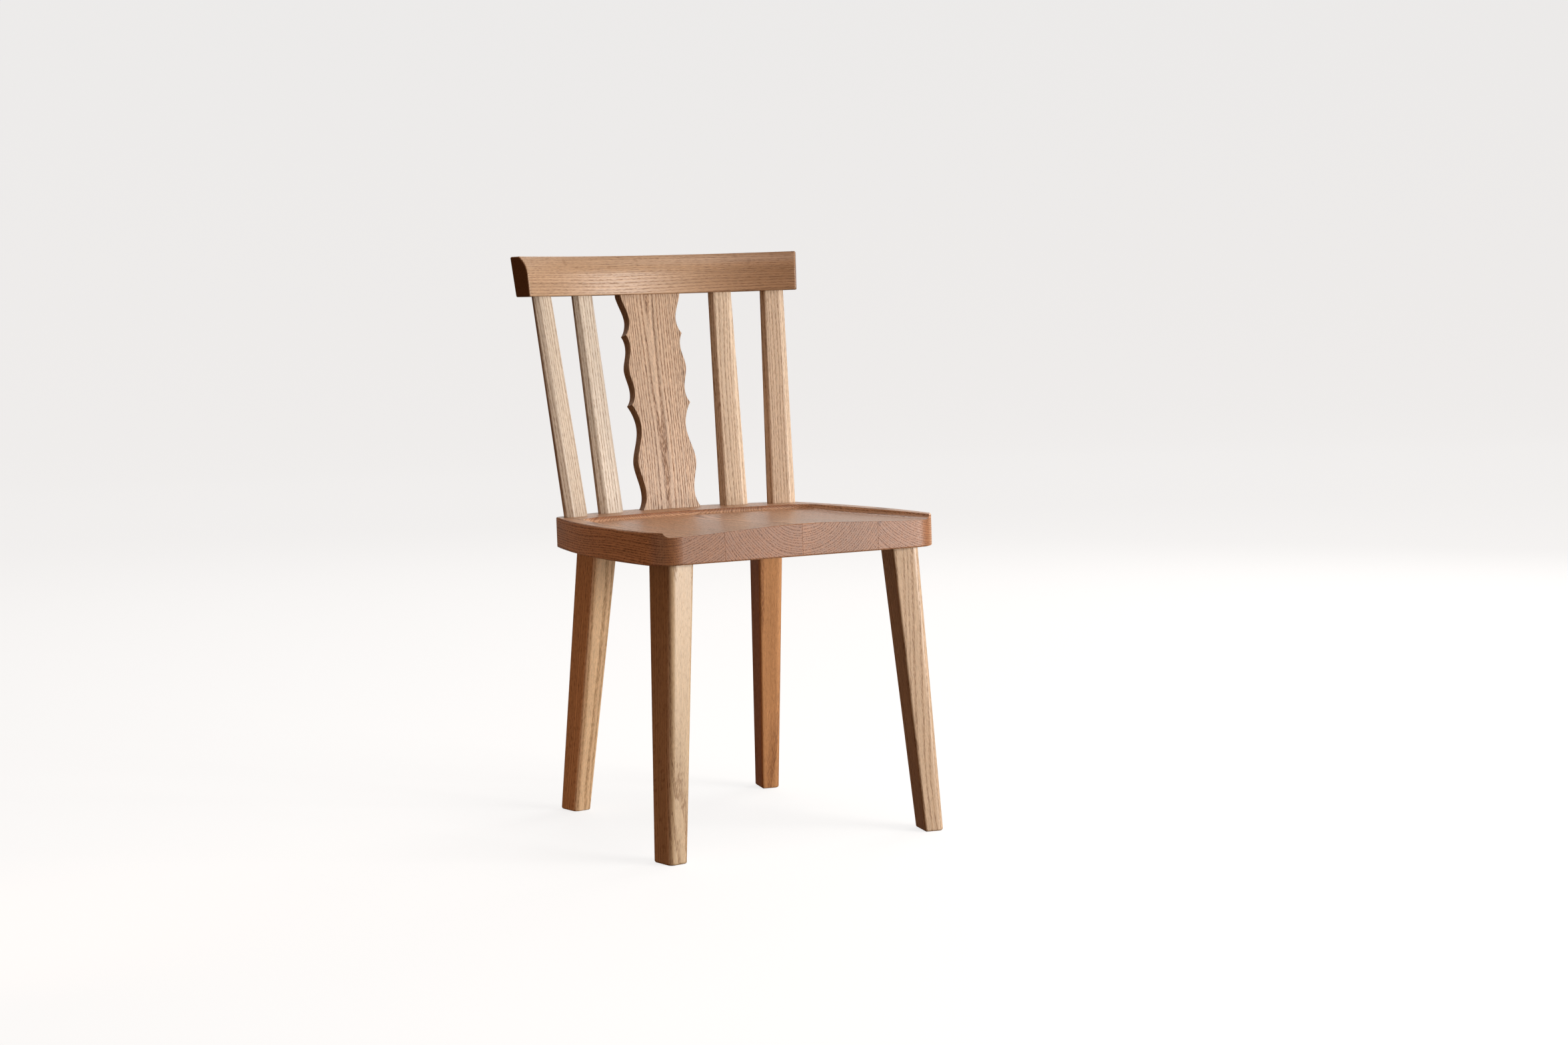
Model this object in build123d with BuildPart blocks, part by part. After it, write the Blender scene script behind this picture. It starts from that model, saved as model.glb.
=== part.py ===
from build123d import *
from math import atan2, cos, radians, sin, tan
import os

os.makedirs("parts", exist_ok=True)

# Dining chair in solid oak. Millimetres, +Z up, the sitter faces -Y, the floor is Z = 0.
# "left" is the -X side and "right" the +X side.

# Seat plank
seat_top = 450.0
seat_bottom = 405.0
seat_front_y = -256.4
seat_rear_y = 207.0
seat_half_front = 216.5
seat_bulge = (225.3, -63.0)
seat_rear_corner = (196.5, 155.0)
front_corner_radius = 40.0
rear_corner_radius = 8.0
seat_edge_round = 2.0
board_joint_x = 118.0          # glue joints: the centre line and this far either side of it
board_slice_x = 240.0          # past the widest point of the seat
board_slice_y = 300.0          # past its front and rear edges

# Dish in the top of the plank, open at the front edge
dish_rim_z = seat_top + 2.0
dish_wall_lean = 25.0          # degrees from vertical
dish_cove = 9.0                # hollow radius between wall and floor
dish_depth_limit = 20.0
dish_rear_y = 112.0
dish_corner = (188.0, 90.0)
dish_side = (204.0, -60.0)
dish_front = (205.0, -290.0)
dish_corner_radius = 48.0
dish_stations_x = (65.0, 140.0, 245.0)
dish_floor = {                 # section position in Y: heights on the centre line and at the stations
    -300.0: (451.0, 448.8, 445.3, 445.0),
    -180.0: (448.0, 446.2, 443.2, 443.5),
    -80.0: (444.0, 442.6, 441.0, 443.0),
    20.0: (441.5, 441.2, 440.8, 443.5),
    100.0: (443.2, 443.2, 443.5, 445.0),
    190.0: (446.5, 446.5, 446.5, 446.5),
}
dish_cutter_top = 470.0

# Legs: tapered, splayed, round tenon at the head
leg_head_size = (39.6, 55.5)
leg_foot_size = (28.6, 43.5)
leg_outer_round = 9.0
leg_inner_round = 3.5
leg_foot_round = 3.0
leg_turn = 11.0
front_leg_foot = (203.8, -229.5)
front_leg_head = (178.3, -209.5)
rear_leg_foot = (164.0, 203.5)
rear_leg_head = (141.5, 134.5)
leg_tenon_radius = 14.0
leg_tenon_length = 28.0

# Back spindles: flat tapered sticks with bevelled, softened long edges, stub tenon at both ends
crest_bottom = 777.0
spindle_base_size = (43.5, 21.7)
spindle_top_size = (36.4, 17.4)
spindle_base_bevel = 8.5
spindle_top_bevel = 7.0
spindle_base_round = 5.0
spindle_top_round = 4.0
outer_spindle_base = (171.0, 139.0)
outer_spindle_top = (192.0, 190.5)
outer_spindle_turn = 21.0
inner_spindle_base = (103.0, 166.0)
inner_spindle_top = (115.5, 218.0)
inner_spindle_turn = 12.5
stub_size = (22.0, 9.0)
stub_length = 18.0

# Back splat: one flat raked board, both long edges scalloped alike
splat_thickness = 20.0
splat_base_y = 178.0
splat_top_y = 234.0
splat_end_trim = 8.0
tongue_size = (56.0, 10.0)
splat_upper = ((50.0, 330.0), (43.6, 310.0), (39.0, 290.0), (41.2, 278.0), (46.8, 268.0))
splat_middle = (
    (46.8, 268.0), (42.0, 252.0), (42.6, 242.0), (48.0, 217.0),
    (42.8, 190.0), (42.0, 178.0), (48.8, 160.5),
)
splat_lower = (
    (48.8, 160.5), (41.0, 145.0), (37.2, 124.0), (41.8, 100.0),
    (48.3, 72.0), (43.6, 46.0), (40.4, 27.0), (47.5, 0.0),
)

# Crest rail: one profile turned through an arc about a vertical axis in front of the back
crest_radius = 460.7
crest_axis_y = 233.2 - crest_radius
crest_half_angle = 29.5
crest_top = 836.8
crest_front_depth = 12.8
crest_back_depth = 14.8
crest_back_lean = 8.5          # degrees from vertical
crest_face_break = (-9.6, 33.0)
crest_top_front = 6.5
crest_edge_round = 2.2

joint_gap = 0.1                # glue clearance round every tenon
socket_extra = 1.5             # empty depth past the end of every tenon
tenon_root = 12.0              # length of every tenon that runs back inside its own piece


def mirrored(point, side):
    return (side * point[0], point[1])


def turned_plane(point, height, turn):
    """Horizontal plane at a point, its X axis turned about Z by some degrees."""
    return Plane(
        origin=(point[0], point[1], height),
        x_dir=(cos(radians(turn)), sin(radians(turn)), 0),
        z_dir=(0, 0, 1),
    )


def axis_plane(start, end, start_z, end_z, turn):
    """Plane through the start point, square to the line that runs on to the end point."""
    along = Vector(end[0] - start[0], end[1] - start[1], end_z - start_z).normalized()
    flat = Vector(cos(radians(turn)), sin(radians(turn)), 0)
    across = (flat - along * flat.dot(along)).normalized()
    return Plane(origin=(start[0], start[1], start_z), x_dir=across, z_dir=along)


def leg_tenon(side, foot, head, grow, reach):
    """Round tenon on the line of a leg."""
    root = axis_plane(mirrored(head, side), mirrored(foot, side), seat_bottom, 0, 0)
    with BuildPart() as tenon:
        with BuildSketch(root):
            Circle(leg_tenon_radius + grow)
        extrude(amount=-reach)
        with BuildSketch(root):
            Circle(leg_tenon_radius + grow)
        extrude(amount=tenon_root)
    return tenon.part


def stub_tenon(root, size, grow, reach):
    """Flat tenon with round edges that leaves its piece against the normal of a plane."""
    with BuildPart() as stub:
        with BuildSketch(root):
            SlotOverall(size[0] + 2 * grow, size[1] + 2 * grow)
        extrude(amount=-reach)
        with BuildSketch(root):
            SlotOverall(size[0] + 2 * grow, size[1] + 2 * grow)
        extrude(amount=tenon_root)
    return stub.part


def spindle_root(side, base, top, turn, at_top):
    """Plane at one end of a spindle whose normal points back into the stick."""
    low = mirrored(base, side)
    high = mirrored(top, side)
    if at_top:
        return axis_plane(high, low, crest_bottom, seat_top, -side * turn)
    return axis_plane(low, high, seat_top, crest_bottom, -side * turn)


def splat_root(at_top):
    low = (0, splat_base_y)
    high = (0, splat_top_y)
    if at_top:
        return axis_plane(high, low, crest_bottom, seat_top, 0)
    return axis_plane(low, high, seat_top, crest_bottom, 0)


legs = {
    "front_left_leg": (-1, front_leg_foot, front_leg_head),
    "front_right_leg": (1, front_leg_foot, front_leg_head),
    "rear_left_leg": (-1, rear_leg_foot, rear_leg_head),
    "rear_right_leg": (1, rear_leg_foot, rear_leg_head),
}
spindles = {
    "spindle_1_outer_left": (-1, outer_spindle_base, outer_spindle_top, outer_spindle_turn),
    "spindle_2_inner_left": (-1, inner_spindle_base, inner_spindle_top, inner_spindle_turn),
    "spindle_3_inner_right": (1, inner_spindle_base, inner_spindle_top, inner_spindle_turn),
    "spindle_4_outer_right": (1, outer_spindle_base, outer_spindle_top, outer_spindle_turn),
}

# Dish cutter: a lofted floor, kept only inside a wall that leans inwards
with BuildPart() as dish:
    for section_y, heights in dish_floor.items():
        centre = [(0, heights[0])]
        right = list(zip(dish_stations_x, heights[1:]))
        left = [(-x, z) for x, z in reversed(right)]
        with BuildSketch(Plane(origin=(0, section_y, 0), x_dir=(1, 0, 0), z_dir=(0, -1, 0))):
            with BuildLine():
                floor_line = Spline(*(left + centre + right))
                Polyline(
                    floor_line @ 1,
                    (dish_stations_x[-1], dish_cutter_top),
                    (-dish_stations_x[-1], dish_cutter_top),
                    floor_line @ 0,
                )
            make_face()
    loft()
    with BuildSketch(Plane.XY.offset(dish_rim_z)) as dish_plan:
        with BuildLine():
            ThreePointArc(mirrored(dish_corner, -1), (0, dish_rear_y), dish_corner)
            ThreePointArc(dish_corner, dish_side, dish_front)
            Line(dish_front, mirrored(dish_front, -1))
            ThreePointArc(mirrored(dish_front, -1), mirrored(dish_side, -1), mirrored(dish_corner, -1))
        make_face()
        fillet(dish_plan.vertices().group_by(Axis.Y)[-1], radius=dish_corner_radius)
    extrude(amount=-dish_depth_limit, taper=dish_wall_lean, mode=Mode.INTERSECT)
    floor_edges = dish.faces().sort_by(Axis.Z)[0].edges()
    fillet(floor_edges.sort_by(Axis.Y)[1:], radius=dish_cove)

# Whole seat plank, before it is divided into its glued boards
with BuildPart() as plank:
    with BuildSketch(Plane.XY.offset(seat_bottom)) as plan:
        with BuildLine():
            front_right = (seat_half_front, seat_front_y)
            Line(mirrored(front_right, -1), front_right)
            ThreePointArc(front_right, seat_bulge, seat_rear_corner)
            ThreePointArc(seat_rear_corner, (0, seat_rear_y), mirrored(seat_rear_corner, -1))
            ThreePointArc(
                mirrored(seat_rear_corner, -1), mirrored(seat_bulge, -1), mirrored(front_right, -1)
            )
        make_face()
        fillet(plan.vertices().group_by(Axis.Y)[0], radius=front_corner_radius)
        fillet(plan.vertices().group_by(Axis.Y)[-1], radius=rear_corner_radius)
    extrude(amount=seat_top - seat_bottom)
    fillet(plank.faces().filter_by(Axis.Z).edges(), radius=seat_edge_round)
    add(dish.part, mode=Mode.SUBTRACT)
    for side, foot, head in legs.values():
        add(leg_tenon(side, foot, head, joint_gap, leg_tenon_length + socket_extra), mode=Mode.SUBTRACT)
    for side, base, top, turn in spindles.values():
        socket = stub_tenon(
            spindle_root(side, base, top, turn, False), stub_size, joint_gap, stub_length + socket_extra
        )
        add(socket, mode=Mode.SUBTRACT)
    add(
        stub_tenon(splat_root(False), tongue_size, joint_gap, stub_length + socket_extra),
        mode=Mode.SUBTRACT,
    )


def seat_board(label, left_x, right_x):
    """One glued board of the seat: the slice of the plank between two joint lines."""
    with BuildPart() as board:
        add(plank.part)
        with BuildSketch(Plane.XY):
            with BuildLine():
                Polyline(
                    (left_x, -board_slice_y), (right_x, -board_slice_y),
                    (right_x, board_slice_y), (left_x, board_slice_y), close=True,
                )
            make_face()
        extrude(amount=dish_cutter_top, mode=Mode.INTERSECT)
    board.part.label = label
    export_step(board.part, f"parts/{label}.step")


def leg(label, side, foot, head):
    """One tapered leg with its tenon; the corners away from the seat centre are rounder."""
    turn = -side * leg_turn
    outward = Axis((0, 0, 0), (side, 0, 0))
    with BuildPart() as body:
        for point, height, size in ((foot, 0, leg_foot_size), (head, seat_bottom, leg_head_size)):
            with BuildSketch(turned_plane(mirrored(point, side), height, turn)) as section:
                Rectangle(size[0], size[1])
                fillet(section.vertices().sort_by(outward)[-2:], radius=leg_outer_round)
                fillet(section.vertices().sort_by(outward)[:2], radius=leg_inner_round)
        loft(ruled=True)
        fillet(body.faces().sort_by(Axis.Z)[0].edges(), radius=leg_foot_round)
        add(leg_tenon(side, foot, head, 0, leg_tenon_length))
    body.part.label = label
    export_step(body.part, f"parts/{label}.step")


def spindle(label, side, base, top, turn):
    """One tapered back stick with a stub tenon at both ends."""
    ends = (
        (base, seat_top, spindle_base_size, spindle_base_bevel, spindle_base_round),
        (top, crest_bottom, spindle_top_size, spindle_top_bevel, spindle_top_round),
    )
    with BuildPart() as stick:
        for point, height, size, bevel, rounding in ends:
            with BuildSketch(turned_plane(mirrored(point, side), height, -side * turn)) as section:
                Rectangle(size[0], size[1])
                chamfer(section.vertices(), length=bevel)
                fillet(section.vertices(), radius=rounding)
        loft(ruled=True)
        for at_top in (False, True):
            add(stub_tenon(spindle_root(side, base, top, turn, at_top), stub_size, 0, stub_length))
    stick.part.label = label
    export_step(stick.part, f"parts/{label}.step")


board_edges = (-board_slice_x, -board_joint_x, 0, board_joint_x, board_slice_x)
for number, (left_x, right_x) in enumerate(zip(board_edges, board_edges[1:]), start=1):
    seat_board(f"seat_board_{number}", left_x, right_x)
for leg_name, (side, foot, head) in legs.items():
    leg(leg_name, side, foot, head)
for spindle_name, (side, base, top, turn) in spindles.items():
    spindle(spindle_name, side, base, top, turn)

# Splat: the scalloped outline lies in the raked plane of the board
splat_rake = atan2(splat_top_y - splat_base_y, crest_bottom - seat_top)
splat_face = Plane(
    origin=(0, splat_base_y, seat_top),
    x_dir=(1, 0, 0),
    z_dir=(0, -cos(splat_rake), sin(splat_rake)),
)
with BuildPart() as back_splat:
    with BuildSketch(splat_face):
        with BuildLine() as outline:
            upper = Spline(*splat_upper)
            middle = Spline(*splat_middle)
            lower = Spline(*splat_lower)
            foot_end = Polyline(lower @ 1, (splat_lower[-1][0], -splat_end_trim), (0, -splat_end_trim))
            head_end = Polyline(
                upper @ 0,
                (splat_upper[0][0], splat_upper[0][1] + splat_end_trim),
                (0, splat_upper[0][1] + splat_end_trim),
            )
            mirror(outline.line, about=Plane.YZ)
        make_face()
    extrude(amount=splat_thickness / 2, both=True)
    split(bisect_by=Plane.XY.offset(seat_top), keep=Keep.TOP)
    split(bisect_by=Plane.XY.offset(crest_bottom), keep=Keep.BOTTOM)
    for at_top in (False, True):
        add(stub_tenon(splat_root(at_top), tongue_size, 0, stub_length))
back_splat.part.label = "back_splat"
export_step(back_splat.part, "parts/back_splat.step")

# Crest rail: the profile stands in the radial plane of the left end
crest_height = crest_top - crest_bottom
crest_end = radians(crest_half_angle)
crest_end_plane = Plane(
    origin=(0, crest_axis_y, crest_bottom),
    x_dir=(-sin(crest_end), cos(crest_end), 0),
    z_dir=(cos(crest_end), sin(crest_end), 0),
)
with BuildPart() as crest_rail:
    with BuildSketch(crest_end_plane):
        with BuildLine():
            bottom_front = (crest_radius - crest_front_depth, 0)
            bottom_back = (crest_radius + crest_back_depth, 0)
            back_run = crest_height * tan(radians(crest_back_lean))
            top_back = (bottom_back[0] + back_run, crest_height)
            top_front = (crest_radius + crest_top_front, crest_height)
            face_break = (crest_radius + crest_face_break[0], crest_face_break[1])
            face = Line(bottom_front, face_break)
            TangentArc(face_break, top_front, tangent=face % 1)
            Polyline(top_front, top_back, bottom_back, bottom_front)
        make_face()
    revolve(axis=Axis((0, crest_axis_y, 0), (0, 0, -1)), revolution_arc=2 * crest_half_angle)
    fillet(crest_rail.edges(), radius=crest_edge_round)
    for side, base, top, turn in spindles.values():
        socket = stub_tenon(
            spindle_root(side, base, top, turn, True), stub_size, joint_gap, stub_length + socket_extra
        )
        add(socket, mode=Mode.SUBTRACT)
    add(
        stub_tenon(splat_root(True), tongue_size, joint_gap, stub_length + socket_extra),
        mode=Mode.SUBTRACT,
    )
crest_rail.part.label = "crest_rail"
export_step(crest_rail.part, "parts/crest_rail.step")
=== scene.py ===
import math

import bpy
from mathutils import Matrix, Vector


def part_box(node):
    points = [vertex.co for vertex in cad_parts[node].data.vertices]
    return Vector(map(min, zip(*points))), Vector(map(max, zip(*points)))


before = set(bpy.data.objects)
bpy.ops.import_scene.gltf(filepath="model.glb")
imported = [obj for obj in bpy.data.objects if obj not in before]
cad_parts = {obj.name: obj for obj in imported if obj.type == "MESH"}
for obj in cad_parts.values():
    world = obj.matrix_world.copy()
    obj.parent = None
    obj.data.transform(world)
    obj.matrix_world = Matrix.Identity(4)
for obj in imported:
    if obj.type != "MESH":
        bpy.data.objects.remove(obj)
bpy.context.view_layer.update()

MM = 0.001

# ---------------------------------------------------------------- camera
CAMERA_PLACE = (-1.5517, -3.2311, 0.7069)
CAMERA_YAW = 24.33          # degrees from +Y towards +X
CAMERA_PITCH = 4.25         # degrees below the horizon
CAMERA_ROLL = -2.03
SENSOR_WIDTH = 36.0         # millimetres, as is the focal length
FOCAL_LENGTH = 56.483128
SHIFT_X = 0.076498          # part of the image width
VIEW_LIMIT = 200.0


def make_camera():
    yaw, pitch, roll = (math.radians(a) for a in (CAMERA_YAW, CAMERA_PITCH, CAMERA_ROLL))
    level = math.cos(pitch)
    forward = Vector((math.sin(yaw) * level, math.cos(yaw) * level, -math.sin(pitch)))
    right = Vector((math.cos(yaw), -math.sin(yaw), 0.0))
    up = right.cross(forward)
    turn = Matrix.Rotation(-roll, 3, forward)
    right, up = turn @ right, turn @ up
    data = bpy.data.cameras.new("camera")
    data.sensor_width = SENSOR_WIDTH
    data.lens = FOCAL_LENGTH
    data.shift_x = SHIFT_X
    data.clip_end = VIEW_LIMIT
    camera = bpy.data.objects.new("camera", data)
    basis = Matrix((right, up, -forward)).transposed().to_4x4()
    camera.matrix_world = Matrix.Translation(CAMERA_PLACE) @ basis
    bpy.context.scene.collection.objects.link(camera)
    bpy.context.scene.camera = camera


# ---------------------------------------------------------------- node helpers
class Nodes:
    """Short calls for building one node tree."""

    def __init__(self, tree):
        self.tree = tree

    def add(self, kind, **settings):
        node = self.tree.nodes.new(kind)
        for key, value in settings.items():
            setattr(node, key, value)
        return node

    def join(self, source, socket):
        if hasattr(source, "is_output"):
            self.tree.links.new(source, socket)
        else:
            socket.default_value = source

    def math(self, operation, *values, clamp=False):
        node = self.add("ShaderNodeMath", operation=operation, use_clamp=clamp)
        for i, value in enumerate(values):
            self.join(value, node.inputs[i])
        return node.outputs[0]

    def vector(self, operation, *values):
        node = self.add("ShaderNodeVectorMath", operation=operation)
        for i, value in enumerate(values):
            self.join(value, node.inputs[i])
        gives_number = operation in ("LENGTH", "DOT_PRODUCT")
        return node.outputs["Value" if gives_number else "Vector"]

    def scaled(self, vector, scale):
        return self.vector("MULTIPLY", vector, scale)

    def ramp(self, value, low, high, to_low=0.0, to_high=1.0):
        node = self.add("ShaderNodeMapRange", interpolation_type="SMOOTHSTEP")
        for i, v in enumerate((value, low, high, to_low, to_high)):
            self.join(v, node.inputs[i])
        return node.outputs[0]

    def mix(self, factor, a, b, blend="MIX"):
        node = self.add("ShaderNodeMix", data_type="RGBA", blend_type=blend)
        self.join(factor, node.inputs[0])
        self.join(a, node.inputs[6])
        self.join(b, node.inputs[7])
        return node.outputs[2]

    def noise(self, vector, scale, detail=2.0, roughness=0.5):
        node = self.add("ShaderNodeTexNoise", noise_dimensions="3D")
        self.join(vector, node.inputs["Vector"])
        node.inputs["Scale"].default_value = scale
        node.inputs["Detail"].default_value = detail
        node.inputs["Roughness"].default_value = roughness
        return node.outputs["Fac"]

    def cells(self, vector):
        node = self.add("ShaderNodeTexVoronoi", voronoi_dimensions="3D", feature="F1")
        self.join(vector, node.inputs["Vector"])
        node.inputs["Scale"].default_value = 1.0
        return node.outputs["Distance"]

    def tinted(self, factor, color, tint):
        """The colour multiplied by a tint where the factor is one."""
        return self.mix(factor, color, self.mix(1.0, color, tint + (1.0,), "MULTIPLY"))

    def shift(self, point, scale, reach):
        """An offset across the grain that changes slowly from place to place."""
        node = self.add("ShaderNodeTexNoise", noise_dimensions="3D")
        self.join(self.scaled(point, scale), node.inputs["Vector"])
        node.inputs["Scale"].default_value = 1.0
        node.inputs["Detail"].default_value = 2.0
        centred = self.vector("SUBTRACT", node.outputs["Color"], (0.5, 0.5, 0.5))
        return self.scaled(centred, (reach, reach, 0.0))

    def about_one(self, value, spread):
        """A factor near one that a noise value moves up and down."""
        return self.math("ADD", 1.0 - spread / 2, self.math("MULTIPLY", value, spread))


# ---------------------------------------------------------------- oak as a solid texture
# Scales are per metre: across the grain, across, along it.
SLOW_WANDER, SLOW_REACH = (5.0, 5.0, 1.6), 0.030
FINE_WANDER, FINE_REACH = (60.0, 60.0, 9.0), 0.0022
UNEVEN_RINGS, UNEVEN_REACH = 90.0, 1.6
SMALL_PORES = (1000.0, 1000.0, 115.0)
WIDE_PORES = (500.0, 500.0, 62.0)
FIBRES = (900.0, 900.0, 14.0)
DASHES = (600.0, 600.0, 130.0)
STREAKS = (170.0, 170.0, 2.2)
CLOUDS = (9.0, 9.0, 2.4)
WEAR = (40.0, 40.0, 40.0)
RAY_ROUND, RAY_OUT, RAY_ALONG = 68.2, 24.0, 75.0     # plates: per radian, per metre, per metre

PORE_TINT = (0.50, 0.40, 0.33)
RAY_TINT_SIDE = (0.66, 0.58, 0.50)
RAY_TINT_END = (1.28, 1.24, 1.18)
END_TINT = (0.50, 0.365, 0.255)
WORN_TINT = (1.22, 1.18, 1.12)
BASE_ROUGHNESS = 0.37


def oak_group():
    """Node group: a point in the board's own frame, Z along the grain in metres, gives the wood there."""
    group = bpy.data.node_groups.new("solid_oak", "ShaderNodeTree")
    inputs = (
        ("Point", "Vector"), ("End", "Float"), ("Edge", "Float"), ("Late", "Color"),
        ("Early", "Color"), ("Rings", "Float"), ("Grain", "Float"),
    )
    outputs = (("Color", "Color"), ("Rough", "Float"), ("Height", "Float"))
    for sockets, in_out in ((inputs, "INPUT"), (outputs, "OUTPUT")):
        for name, kind in sockets:
            group.interface.new_socket(name, in_out=in_out, socket_type="NodeSocket" + kind)
    n = Nodes(group)
    put = n.add("NodeGroupInput").outputs
    point = put["Point"]

    # the log's centre line wanders slowly, and its fibres a little more quickly
    slow = n.vector("ADD", point, n.shift(point, SLOW_WANDER, SLOW_REACH))
    bent = n.vector("ADD", slow, n.shift(point, FINE_WANDER, FINE_REACH))
    radius = n.vector("LENGTH", n.scaled(bent, (1.0, 1.0, 0.0)))
    split = n.add("ShaderNodeSeparateXYZ")
    n.join(bent, split.inputs[0])
    angle = n.math("ARCTAN2", split.outputs["Y"], split.outputs["X"])

    # growth rings of uneven width: dark porous spring band, smooth summer band
    uneven = n.add("ShaderNodeTexNoise", noise_dimensions="1D")
    n.join(n.math("MULTIPLY", radius, UNEVEN_RINGS), uneven.inputs["W"])
    uneven.inputs["Scale"].default_value = 1.0
    uneven.inputs["Detail"].default_value = 1.0
    even = n.math("MULTIPLY", radius, put["Rings"])
    phase = n.math("FRACT", n.math("ADD", even, n.math("MULTIPLY", uneven.outputs["Fac"], UNEVEN_REACH)))
    spring = n.math("SUBTRACT", 1.0, n.ramp(phase, 0.16, 0.52))
    spring = n.math("MAXIMUM", spring, n.ramp(phase, 0.94, 1.0))

    # pores: long vessels, large in the spring band
    pore_size = n.math("ADD", 0.16, n.math("MULTIPLY", spring, 0.30))
    inside = n.math("DIVIDE", n.cells(n.scaled(point, SMALL_PORES)), pore_size)
    small = n.math("SUBTRACT", 1.0, n.ramp(inside, 0.75, 1.1))
    wide = n.math("SUBTRACT", 1.0, n.ramp(n.cells(n.scaled(point, WIDE_PORES)), 0.22, 0.42))
    pores = n.math("MAXIMUM", small, n.math("MULTIPLY", wide, spring))

    # rays: thin plates that stand along the radius
    plate = n.add("ShaderNodeCombineXYZ")
    n.join(n.math("MULTIPLY", angle, RAY_ROUND), plate.inputs[0])
    n.join(n.math("MULTIPLY", radius, RAY_OUT), plate.inputs[1])
    n.join(n.math("MULTIPLY", split.outputs["Z"], RAY_ALONG), plate.inputs[2])
    rays = n.math("SUBTRACT", 1.0, n.ramp(n.cells(plate.outputs[0]), 0.16, 0.34))

    # light and dark: fibres, short dashes, long streaks and slow clouds
    fibre = n.noise(n.scaled(point, FIBRES), 1.0, 3.0, 0.6)
    dash = n.noise(n.scaled(point, DASHES), 1.0, 2.0, 0.7)
    streak = n.noise(n.scaled(point, STREAKS), 1.0, 3.0, 0.55)
    cloud = n.noise(n.scaled(point, CLOUDS), 1.0, 3.0, 0.5)
    tone = n.about_one(streak, 0.32)
    for value, spread in ((fibre, 0.34), (dash, 0.48), (cloud, 0.28)):
        tone = n.math("MULTIPLY", tone, n.about_one(value, spread))
    tone = n.math("ADD", 1.0, n.math("MULTIPLY", n.math("SUBTRACT", tone, 1.0), put["Grain"]))
    grey = n.add("ShaderNodeCombineColor")
    for i in range(3):
        n.join(tone, grey.inputs[i])

    # colour, built up from the ring bands
    band = n.math("MULTIPLY", spring, n.ramp(put["End"], 0.0, 1.0, 0.50, 0.24))
    band = n.math("MULTIPLY", band, put["Grain"], clamp=True)
    color = n.mix(band, put["Late"], put["Early"])
    color = n.mix(1.0, color, grey.outputs[0], "MULTIPLY")
    depth = n.math("MULTIPLY", n.math("MULTIPLY", pores, 0.55), put["Grain"], clamp=True)
    color = n.tinted(depth, color, PORE_TINT)
    ray_side = n.tinted(1.0, color, RAY_TINT_SIDE)
    ray_end = n.tinted(1.0, color, RAY_TINT_END)
    color = n.mix(n.math("MULTIPLY", rays, 0.55), color, n.mix(put["End"], ray_side, ray_end))
    color = n.tinted(put["End"], color, END_TINT)
    patchy = n.ramp(n.noise(n.scaled(point, WEAR), 1.0), 0.35, 0.65)
    rub = n.math("MULTIPLY", put["Edge"], patchy)
    color = n.tinted(rub, color, WORN_TINT)

    rough = n.math("ADD", BASE_ROUGHNESS, n.math("MULTIPLY", pores, 0.22))
    rough = n.math("ADD", rough, n.math("MULTIPLY", put["End"], 0.10))
    rough = n.math("ADD", rough, n.math("MULTIPLY", n.math("SUBTRACT", streak, 0.5), 0.16))
    rough = n.math("SUBTRACT", rough, n.math("MULTIPLY", rub, 0.05), clamp=True)
    height = n.math("SUBTRACT", n.math("MULTIPLY", fibre, 0.30), n.math("MULTIPLY", pores, 0.85))
    height = n.math("SUBTRACT", height, n.math("MULTIPLY", spring, 0.25))

    out = n.add("NodeGroupOutput")
    n.join(color, out.inputs["Color"])
    n.join(rough, out.inputs["Rough"])
    n.join(height, out.inputs["Height"])
    return group


OAK = oak_group()
TAN_LATE, TAN_EARLY = (0.690, 0.445, 0.270), (0.520, 0.300, 0.160)
BROWN_LATE, BROWN_EARLY = (0.600, 0.350, 0.210), (0.450, 0.240, 0.130)

EDGE_RADIUS = 1.6 * MM
BUMP_STRENGTH = 0.45
BUMP_DEPTH = 0.35 * MM
SATIN_IOR = 1.47
COAT_ROUGHNESS = 0.30
KNOT_TINT = (0.50, 0.42, 0.36)
KNOT_RAGGED = 260.0         # scale of the noise that roughens a knot's outline


def object_place(n):
    return n.add("ShaderNodeTexCoord").outputs["Object"]


def straight_point(n, grain, across, centre):
    """Place in a straight board: across, across, along the grain. Gives the grain direction too."""
    along = Vector(grain).normalized()
    side = Vector(across)
    side = (side - along * side.dot(along)).normalized()
    local = n.vector("SUBTRACT", object_place(n), tuple(centre))
    axes = (side, along.cross(side), along)
    return [n.vector("DOT_PRODUCT", local, tuple(axis)) for axis in axes], tuple(along)


def bent_point(n, axis_y, radius):
    """Place in a rail bent about an upright axis: out from the arc, up, along the arc."""
    split = n.add("ShaderNodeSeparateXYZ")
    n.join(n.vector("SUBTRACT", object_place(n), (0.0, axis_y, 0.0)), split.inputs[0])
    flat = n.add("ShaderNodeCombineXYZ")
    n.join(split.outputs["X"], flat.inputs[0])
    n.join(split.outputs["Y"], flat.inputs[1])
    out = n.math("SUBTRACT", n.vector("LENGTH", flat.outputs[0]), radius)
    along = n.math("MULTIPLY", n.math("ARCTAN2", split.outputs["X"], split.outputs["Y"]), radius)
    turned = n.add("ShaderNodeCombineXYZ")
    n.join(split.outputs["Y"], turned.inputs[0])
    n.join(n.math("MULTIPLY", split.outputs["X"], -1.0), turned.inputs[1])
    return [out, split.outputs["Z"], along], n.vector("NORMALIZE", turned.outputs[0])


def facing(n, normal, direction):
    """How squarely a face looks along a direction, either way."""
    return n.math("ABSOLUTE", n.vector("DOT_PRODUCT", normal, direction))


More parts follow.
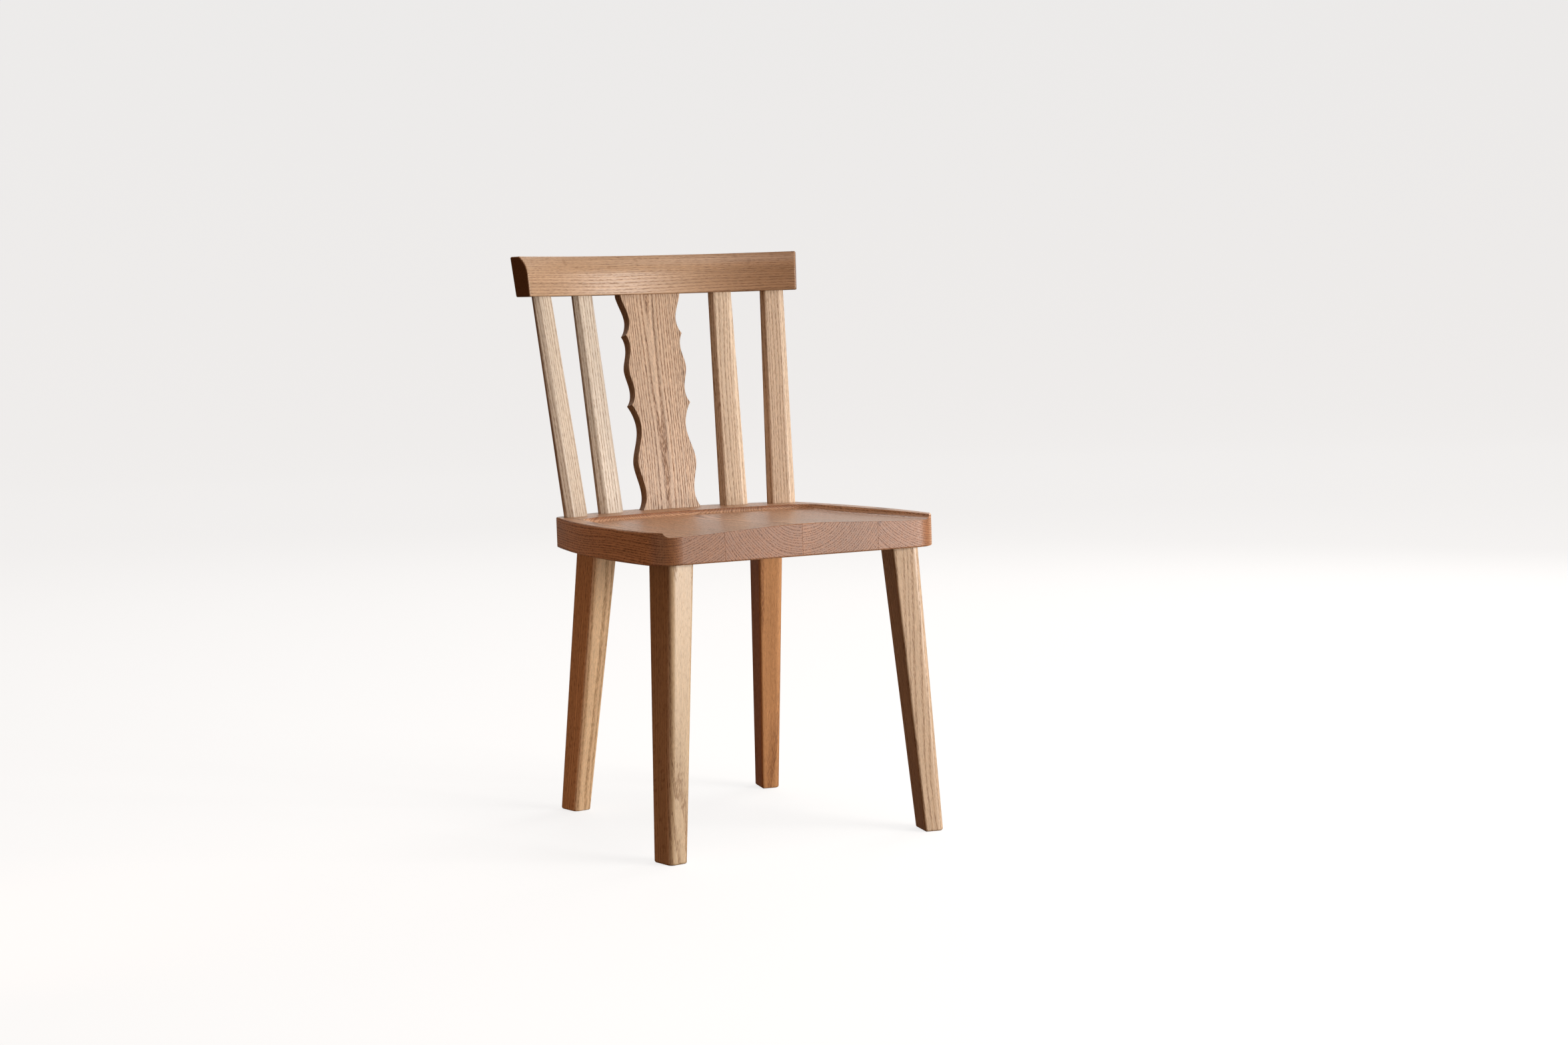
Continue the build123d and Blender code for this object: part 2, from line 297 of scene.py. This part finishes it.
def with_knots(n, color, knots):
    """Small dark spots of ragged outline, each a place and its size."""
    for place, size in knots:
        local = n.vector("SUBTRACT", object_place(n), place)
        ragged = n.ramp(n.noise(local, KNOT_RAGGED), 0.2, 0.8, 0.6, 1.8)
        away = n.math("MULTIPLY", n.vector("LENGTH", local), ragged)
        color = n.tinted(n.ramp(away, size * 0.2, size, 1.0, 0.0), color, KNOT_TINT)
    return color


def oak(name, shape, pith, wood, rings, grain, tint, coat=0.0, drift=None, painted_side_light=None, knots=()):
    """Material for one piece.

    shape gives the place in the board, pith its offset from the log's centre, wood the late and
    early colours. drift is (axis, from, to, tint), a slow change of colour. painted_side_light is
    the tint of painted light on the sides that look along X, knots a list of places with their size.
    """
    material = bpy.data.materials.new(name)
    material.use_nodes = True
    material.node_tree.nodes.clear()
    n = Nodes(material.node_tree)
    parts, along = shape(n)
    joined = n.add("ShaderNodeCombineXYZ")
    for i, (part, offset) in enumerate(zip(parts, pith)):
        n.join(n.math("ADD", part, offset), joined.inputs[i])
    geometry = n.add("ShaderNodeNewGeometry")
    normal = geometry.outputs["True Normal"]
    bevel = n.add("ShaderNodeBevel", samples=4)
    bevel.inputs["Radius"].default_value = EDGE_RADIUS
    unbent = n.vector("DOT_PRODUCT", bevel.outputs[0], geometry.outputs["Normal"])
    group = n.add("ShaderNodeGroup", node_tree=OAK)
    n.join(joined.outputs[0], group.inputs["Point"])
    n.join(n.ramp(facing(n, normal, along), 0.6, 0.9), group.inputs["End"])
    n.join(n.ramp(unbent, 0.80, 0.985, 1.0, 0.0), group.inputs["Edge"])
    for socket, color in zip(("Late", "Early"), wood):
        group.inputs[socket].default_value = tuple(c * t for c, t in zip(color, tint)) + (1.0,)
    group.inputs["Rings"].default_value = rings
    group.inputs["Grain"].default_value = grain
    color = group.outputs["Color"]
    if drift:
        axis, start, stop, shade = drift
        color = n.tinted(n.ramp(parts[axis], start, stop), color, shade)
    # painted light: faces that look along X get a paler tint
    if painted_side_light:
        color = n.tinted(n.ramp(facing(n, normal, (1.0, 0.0, 0.0)), 0.80, 0.97), color, painted_side_light)
    color = with_knots(n, color, knots)
    bump = n.add("ShaderNodeBump")
    bump.inputs["Strength"].default_value = BUMP_STRENGTH
    bump.inputs["Distance"].default_value = BUMP_DEPTH
    n.join(group.outputs["Height"], bump.inputs["Height"])
    n.join(bevel.outputs[0], bump.inputs["Normal"])
    shader = n.add("ShaderNodeBsdfPrincipled")
    n.join(color, shader.inputs["Base Color"])
    n.join(group.outputs["Rough"], shader.inputs["Roughness"])
    n.join(bump.outputs[0], shader.inputs["Normal"])
    shader.inputs["IOR"].default_value = SATIN_IOR
    shader.inputs["Coat Weight"].default_value = coat
    shader.inputs["Coat Roughness"].default_value = COAT_ROUGHNESS
    out = n.add("ShaderNodeOutputMaterial")
    n.join(shader.outputs[0], out.inputs["Surface"])
    return material


def dress(node, material):
    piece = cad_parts[node]
    piece.data.materials.clear()
    piece.data.materials.append(material)


def middle(node):
    low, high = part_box(node)
    return (low + high) / 2


def straight(node, grain):
    return lambda n: straight_point(n, grain, ACROSS, middle(node))


ACROSS = (1, 0, 0)
SEAT_GRAIN = (0, 1, 0)
SEAT_RINGS, SEAT_CONTRAST, SEAT_COAT = 300.0, 1.8, 0.2
# painted light: the seat boards' sides that look along X are made paler, standing in for light the lamps
# don't give them
SEAT_SIDE_PAINTED_LIGHT = (1.48, 1.68, 1.80)
JOINT_STRIP = (0, -0.045, -0.048, (1.13, 1.12, 1.10))
SMALL_KNOT = ((0.121, -0.2564, 0.444), 0.0060)
# pith offset, tint, drift, knots
BOARDS = {
    "seat_board_1": ((0.030, 0.090, 0.1), (1.00, 1.00, 1.00), None, ()),
    "seat_board_2": ((-0.059, 0.070, 1.3), (1.00, 0.98, 0.96), None, ()),
    "seat_board_3": ((0.059, 0.075, 2.9), (0.97, 0.98, 1.00), JOINT_STRIP, ()),
    "seat_board_4": ((-0.045, 0.110, 4.2), (1.02, 1.00, 0.98), None, (SMALL_KNOT,)),
}

STICK_RINGS, STICK_CONTRAST = 245.0, 1.2
SPLAT_RINGS, SPLAT_CONTRAST = 300.0, 2.2
# grain direction, pith offset, tint
STICKS = {
    "front_left_leg": ((-0.0255, -0.020, -0.405), (0.020, 0.055, 5.1), (0.77, 0.85, 0.85)),
    "front_right_leg": ((0.0255, -0.020, -0.405), (-0.050, 0.030, 6.7), (0.90, 1.01, 1.13)),
    # rear left leg: paler tint, painted light standing in for light the lamps don't give its faces
    "rear_left_leg": ((-0.0225, 0.069, -0.405), (0.035, 0.045, 7.9), (1.24, 1.31, 1.28)),
    # rear right leg: darker, redder tint, partly its own redder wood and partly painted shade from the seat
    # above it
    "rear_right_leg": ((0.0225, 0.069, -0.405), (-0.020, 0.060, 9.3), (0.78, 0.59, 0.42)),
    "spindle_1_outer_left": ((-0.021, 0.0515, 0.327), (0.050, 0.010, 11.1), (0.86, 1.13, 1.50)),
    "spindle_2_inner_left": ((-0.0125, 0.052, 0.327), (-0.040, 0.035, 12.6), (0.86, 1.15, 1.55)),
    "spindle_3_inner_right": ((0.0125, 0.052, 0.327), (0.045, -0.030, 14.2), (0.98, 1.20, 1.48)),
    "spindle_4_outer_right": ((0.021, 0.0515, 0.327), (-0.055, 0.020, 15.5), (0.95, 1.14, 1.40)),
    "back_splat": ((0, 0.056, 0.327), (0.006, 0.028, 17.0), (0.75, 0.81, 0.90)),
}

RAIL_AXIS_Y, RAIL_RADIUS = -0.2275, 0.4607
RAIL_PITH = (0.055, -0.760, 19.0)
RAIL_RINGS, RAIL_CONTRAST, RAIL_COAT = 330.0, 1.15, 0.15
RAIL_TINT = (0.80, 0.88, 0.89)
RAIL_DARK_END_AND_SHADE = (2, 0.02, 0.20, (0.74, 0.66, 0.60))     # darker towards the right-hand end: partly darker wood, partly painted shade where the bent rail turns away from the key light


def dress_chair():
    brown, tan = (BROWN_LATE, BROWN_EARLY), (TAN_LATE, TAN_EARLY)
    for node, (pith, tint, drift, knots) in BOARDS.items():
        place = straight(node, SEAT_GRAIN)
        wood = oak(
            node, place, pith, brown, SEAT_RINGS, SEAT_CONTRAST, tint, SEAT_COAT, drift, SEAT_SIDE_PAINTED_LIGHT, knots
        )
        dress(node, wood)
    for node, (grain, pith, tint) in STICKS.items():
        rings, contrast = (STICK_RINGS, STICK_CONTRAST)
        if node == "back_splat":
            rings, contrast = (SPLAT_RINGS, SPLAT_CONTRAST)
        dress(node, oak(node, straight(node, grain), pith, tan, rings, contrast, tint))
    bend = lambda n: bent_point(n, RAIL_AXIS_Y, RAIL_RADIUS)
    # the rail's right-hand end is darkened: partly darker wood, partly painted shade
    rail = oak(
        "crest_rail", bend, RAIL_PITH, brown, RAIL_RINGS, RAIL_CONTRAST, RAIL_TINT, RAIL_COAT, RAIL_DARK_END_AND_SHADE
    )
    dress("crest_rail", rail)


# ---------------------------------------------------------------- studio
FLOOR_RINGS = (0.0, 1.0, 2.5, 5.0, 8.0, 10.0)
FLOOR_SIDES = 96
SWEEP_RADIUS = 3.0
WALL_HEIGHTS = (7.0, 12.0)
FLOOR_GREY = (0.30, 0.30, 0.30, 1.0)
FLOOR_GLOW = (0.995, 1.0, 1.0, 1.0)
FLOOR_GLOW_STRENGTH = 0.80


def floor_profile():
    """Radius and height of each ring, from the middle outwards and up the wall."""
    flat = FLOOR_RINGS[-1]
    profile = [(radius, 0.0) for radius in FLOOR_RINGS]
    for degrees in range(10, 91, 10):
        turn = math.radians(degrees)
        profile.append((flat + SWEEP_RADIUS * math.sin(turn), SWEEP_RADIUS - SWEEP_RADIUS * math.cos(turn)))
    return profile + [(flat + SWEEP_RADIUS, height) for height in WALL_HEIGHTS]


def make_floor():
    """Round floor that sweeps up into a wall all round the chair."""
    profile = floor_profile()
    verts, faces = [], []
    for radius, height in profile:
        for k in range(FLOOR_SIDES):
            angle = math.tau * k / FLOOR_SIDES
            verts.append((radius * math.cos(angle), radius * math.sin(angle), height))
    for i in range(len(profile) - 1):
        for k in range(FLOOR_SIDES):
            a, b = i * FLOOR_SIDES + k, i * FLOOR_SIDES + (k + 1) % FLOOR_SIDES
            faces.append((a, b, b + FLOOR_SIDES, a + FLOOR_SIDES))
    mesh = bpy.data.meshes.new("floor")
    mesh.from_pydata(verts, [], faces)
    mesh.validate()
    for polygon in mesh.polygons:
        polygon.use_smooth = True
    floor = bpy.data.objects.new("floor", mesh)
    bpy.context.scene.collection.objects.link(floor)
    material = bpy.data.materials.new("floor")
    material.use_nodes = True
    shader = material.node_tree.nodes["Principled BSDF"]
    shader.inputs["Base Color"].default_value = FLOOR_GREY
    shader.inputs["Roughness"].default_value = 0.9
    shader.inputs["Specular IOR Level"].default_value = 0.1
    shader.inputs["Emission Color"].default_value = FLOOR_GLOW
    shader.inputs["Emission Strength"].default_value = FLOOR_GLOW_STRENGTH
    mesh.materials.append(material)
    floor.visible_diffuse = False
    floor.visible_glossy = False
    floor.visible_shadow = False


# place, target, size, watts, colour, spread in degrees
LIGHTS = {
    "key": ((2.50, -3.25, 0.75), (0.0, 0.0, 0.45), (2.0, 1.2), 192.0, (1.0, 0.97, 0.93), 180.0),
    "overhead": ((0.6, -0.8, 3.2), (0.0, 0.0, 0.4), (2.0, 2.0), 29.0, (1.0, 0.97, 0.92), 180.0),
    "side": ((3.2, 1.6, 2.0), (0.0, 0.0, 0.5), (1.8, 1.8), 25.0, (1.0, 0.98, 0.95), 180.0),
    "back_fill": ((1.7, 4.0, 3.0), (0.0, 0.0, 0.45), (2.0, 1.6), 18.0, (1.0, 0.98, 0.95), 180.0),
    "low_bounce": ((-1.35, -0.15, 0.12), (0.0, 0.0, 0.08), (0.6, 0.25), 0.43, (1.0, 0.56, 0.37), 80.0),
}


def area_light(name, place, target, size, power, color, spread):
    data = bpy.data.lights.new(name, "AREA")
    data.shape = "RECTANGLE"
    data.size, data.size_y = size
    data.energy = power
    data.color = color
    data.spread = math.radians(spread)
    light = bpy.data.objects.new(name, data)
    light.location = place
    light.rotation_euler = (Vector(target) - Vector(place)).to_track_quat("-Z", "Y").to_euler()
    light.visible_camera = False
    bpy.context.scene.collection.objects.link(light)


BRIGHT_SIDE = (0.76, 0.64, 0.10)        # direction in which the surround is brightest
SURROUND_DARK = (0.150, 0.066, 0.027, 1.0)
SURROUND_BRIGHT = (0.60, 0.585, 0.56, 1.0)
BELOW_STRENGTH, ABOVE_STRENGTH = 0.25, 1.0


def make_world():
    """Soft surround: bright behind and to the right of the chair, dim to its left."""
    world = bpy.data.worlds.new("studio")
    world.use_nodes = True
    world.node_tree.nodes.clear()
    n = Nodes(world.node_tree)
    ray = n.add("ShaderNodeTexCoord").outputs["Generated"]
    glow = n.ramp(n.vector("DOT_PRODUCT", ray, BRIGHT_SIDE), 0.30, 0.92)
    split = n.add("ShaderNodeSeparateXYZ")
    n.join(ray, split.inputs[0])
    above = n.ramp(split.outputs["Z"], -0.10, 0.05, BELOW_STRENGTH, ABOVE_STRENGTH)
    background = n.add("ShaderNodeBackground")
    n.join(n.mix(glow, SURROUND_DARK, SURROUND_BRIGHT), background.inputs["Color"])
    n.join(above, background.inputs["Strength"])
    out = n.add("ShaderNodeOutputWorld")
    n.join(background.outputs[0], out.inputs["Surface"])
    bpy.context.scene.world = world


make_camera()
dress_chair()
make_floor()
make_world()
for light_name, settings in LIGHTS.items():
    area_light(light_name, *settings)

scene = bpy.context.scene
scene.view_settings.view_transform = "Standard"
scene.view_settings.look = "None"
scene.view_settings.exposure = 0.0

bpy.context.view_layer.update()
